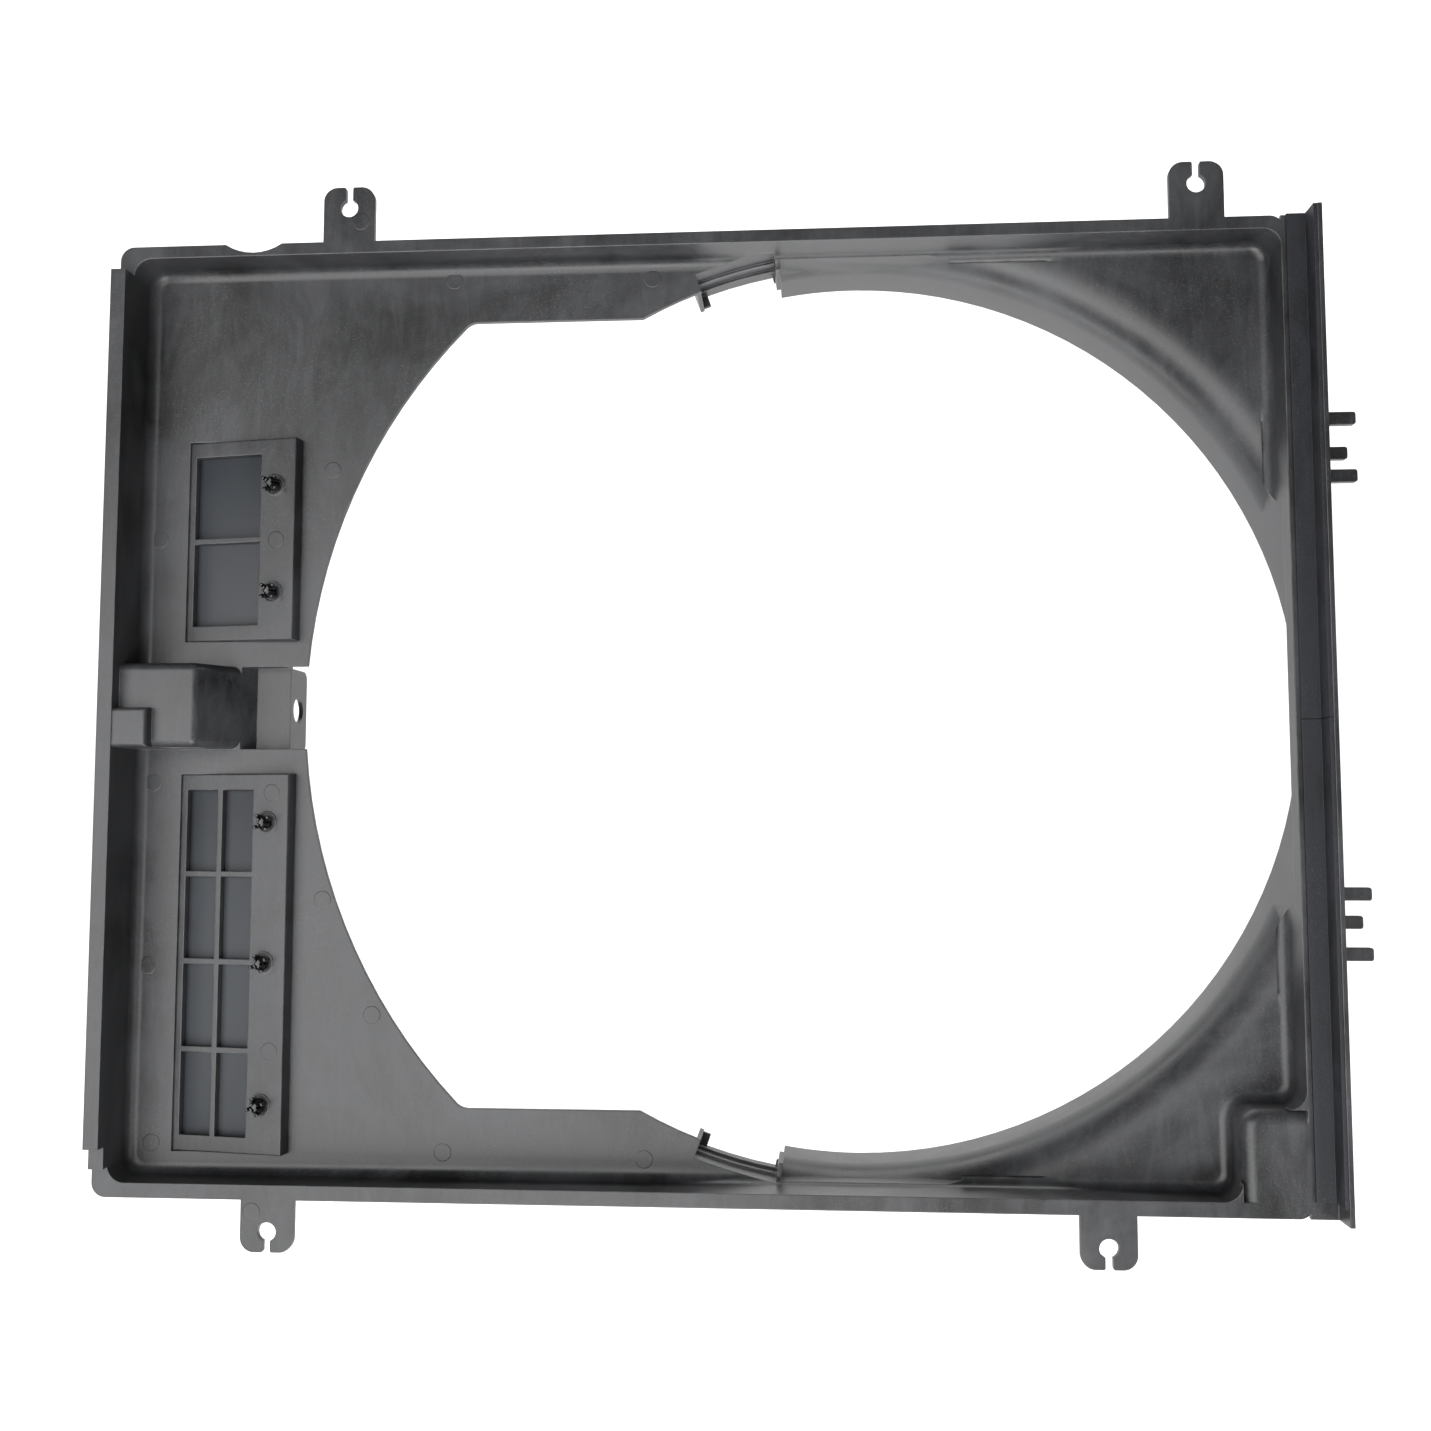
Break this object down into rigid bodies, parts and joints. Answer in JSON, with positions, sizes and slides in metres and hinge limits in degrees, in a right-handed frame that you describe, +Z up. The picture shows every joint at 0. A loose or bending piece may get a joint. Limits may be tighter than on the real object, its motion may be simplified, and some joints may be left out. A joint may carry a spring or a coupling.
{
  "type": "radiator fan shroud",
  "caption": "Black moulded radiator fan shroud with half a fan ring, two rubber flap vents, push rivets, hose clips and keyhole tabs.",
  "frame": {"origin": "where the fan axis meets the front plane of the flange", "axes": "+X to the right seen from the radiator, +Y along the fan axis from the radiator towards the engine, +Z up"},
  "size_m": [0.694, 0.087, 0.6],
  "materials": {
    "shroud_plastic": "moulded, low sheen, dusty",
    "flap_rubber": "smooth sheet",
    "seal_rubber": "matt, dusty",
    "rivet_plastic": "glossy"
  },
  "bodies": {
    "shroud_body": {"shroud": "shroud_plastic", "upper_vent_frame": "shroud_plastic", "upper_flap_root": "flap_rubber", "lower_vent_frame": "shroud_plastic", "lower_flap_root": "flap_rubber", "rivet_1_sleeve": "rivet_plastic", "rivet_1_pin": "rivet_plastic", "rivet_2_sleeve": "rivet_plastic", "rivet_2_pin": "rivet_plastic", "rivet_3_sleeve": "rivet_plastic", "rivet_3_pin": "rivet_plastic", "rivet_4_sleeve": "rivet_plastic", "rivet_4_pin": "rivet_plastic", "rivet_5_sleeve": "rivet_plastic", "rivet_5_pin": "rivet_plastic", "upper_side_seal": "seal_rubber", "lower_side_seal": "seal_rubber", "upper_hose_clip": "shroud_plastic", "lower_hose_clip": "shroud_plastic"},
    "upper_flap_body": {"upper_flap": "flap_rubber"},
    "lower_flap_body": {"lower_flap": "flap_rubber"}
  },
  "joints": [
    {"name": "upper_flap_swing", "type": "hinge", "parent": "shroud_body", "child": "upper_flap_body", "pos_m": [-0.34423, 0.02387, 0.0987], "axis": [0, 0, -1], "range_deg": [0, 60], "stiffness_Nm_per_rad": 0.02},
    {"name": "lower_flap_swing", "type": "hinge", "parent": "shroud_body", "child": "lower_flap_body", "pos_m": [-0.34423, 0.02387, -0.1453], "axis": [0, 0, -1], "range_deg": [0, 60], "stiffness_Nm_per_rad": 0.02}
  ]
}
